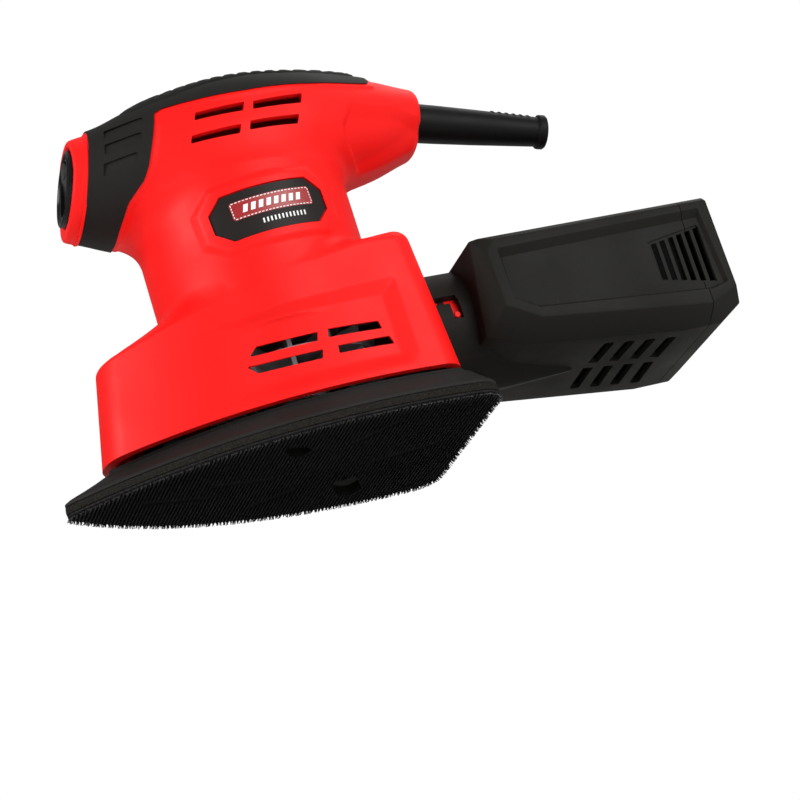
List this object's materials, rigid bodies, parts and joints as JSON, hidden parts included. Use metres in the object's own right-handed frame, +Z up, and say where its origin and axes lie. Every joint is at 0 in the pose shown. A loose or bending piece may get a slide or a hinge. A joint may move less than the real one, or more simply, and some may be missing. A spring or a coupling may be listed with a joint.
{
  "type": "detail mouse sander",
  "caption": "Palm-grip detail sander: iron-shaped hook-and-loop pad orbiting under an upright motor, nose switch, cord guard and twist-off dust box.",
  "frame": {"origin": "on the motor axis at the sanding face, where the hook tips meet the work", "axes": "+Z up along the motor axis, nose of the pad towards -X, dust box towards +X, +Y to the right-hand side seen from behind"},
  "size_m": [0.2317, 0.09, 0.1381],
  "materials": {
    "red_plastic": "fine-textured moulded plastic",
    "soft_grip": "matt soft-touch rubber",
    "soft_grip_textured": "soft rubber with a wavy tread",
    "plate_black": "satin printed plate",
    "screw_steel": "blackened steel",
    "gloss_black": "gloss moulded plastic",
    "rocker_black": "satin moulded plastic",
    "black_plastic": "moulded plastic",
    "bright_steel": "ground steel",
    "guard_rubber": "smooth flexible rubber",
    "capacitor_grey": "moulded case",
    "lamination_steel": "stacked sheet steel",
    "copper_wire": "enamelled copper winding",
    "copper_bar": "turned copper bars",
    "brass": "folded brass sheet",
    "carbon": "pressed carbon",
    "black_rubber": "moulded rubber",
    "bracket_alloy": "cast alloy",
    "fan_plastic": "glass-filled plastic",
    "platen_plastic": "moulded plastic with a slight sheen",
    "foam": "closed-cell foam",
    "hook_nylon": "rows of nylon hooks",
    "box_plastic": "fine-textured moulded plastic",
    "filter_cloth": "felted filter cloth"
  },
  "bodies": {
    "housing": {"housing_left": "red_plastic", "housing_right": "red_plastic", "grip_overmold": "soft_grip", "grip_pad": "soft_grip_textured", "front_ring": "red_plastic", "name_plate": "plate_black", "rating_plate": "plate_black", "housing_screws": "screw_steel", "switch_bezel": "gloss_black", "switch_body": "black_plastic", "rocker_pin": "bright_steel", "cord_guard": "guard_rubber", "cord_clamp": "black_plastic", "cord_clamp_screws": "screw_steel", "capacitor": "capacitor_grey", "stator_core": "lamination_steel", "field_coils": "copper_wire", "brush_yoke": "black_plastic", "brush_holders": "brass", "carbon_brushes": "carbon", "brush_springs": "bright_steel", "upper_bearing": "bright_steel", "bearing_sleeve": "black_rubber", "lower_bearing": "bright_steel", "bearing_bracket": "bracket_alloy", "bracket_screws": "screw_steel", "dust_outlet": "red_plastic", "outlet_seal": "black_rubber"},
    "rocker": {"switch_rocker": "rocker_black"},
    "rotor": {"motor_shaft": "bright_steel", "armature_core": "lamination_steel", "armature_winding": "copper_wire", "commutator": "copper_bar", "fan": "fan_plastic", "counterweight": "lamination_steel", "eccentric_hub": "bright_steel", "platen_screw": "screw_steel", "platen_washer": "bright_steel"},
    "platen": {"platen_bearing": "bright_steel", "platen": "platen_plastic", "rubber_posts": "black_rubber", "post_screws": "screw_steel", "foam_pad": "foam", "hook_sheet": "hook_nylon"},
    "dust_box": {"box_shell": "box_plastic", "dust_filter": "filter_cloth"},
    "box_cap": {"box_end_cap": "box_plastic"}
  },
  "joints": [
    {"name": "switch_rock", "type": "hinge", "parent": "housing", "child": "rocker", "pos_m": [-0.05153, 0, 0.11143], "axis": [0, 1, 0], "range_deg": [0, 12]},
    {"name": "rotor_spin", "type": "hinge", "parent": "housing", "child": "rotor", "pos_m": [0, 0, 0.06], "axis": [0, 0, 1], "continuous": true},
    {"name": "platen_orbit", "type": "hinge", "parent": "rotor", "child": "platen", "pos_m": [0.0008, 0, 0.0137], "axis": [0, 0, 1], "continuous": true},
    {"name": "dust_box_twist", "type": "hinge", "parent": "housing", "child": "dust_box", "pos_m": [0.055, 0, 0.037], "axis": [1, 0, 0], "range_deg": [0, 15]},
    {"name": "end_cap_pull", "type": "slide", "parent": "dust_box", "child": "box_cap", "axis": [1, 0, 0], "range_m": [0, 0.04]}
  ],
  "couplings": [
    {"joint": "platen_orbit", "follows": "rotor_spin", "ratio": -1}
  ]
}
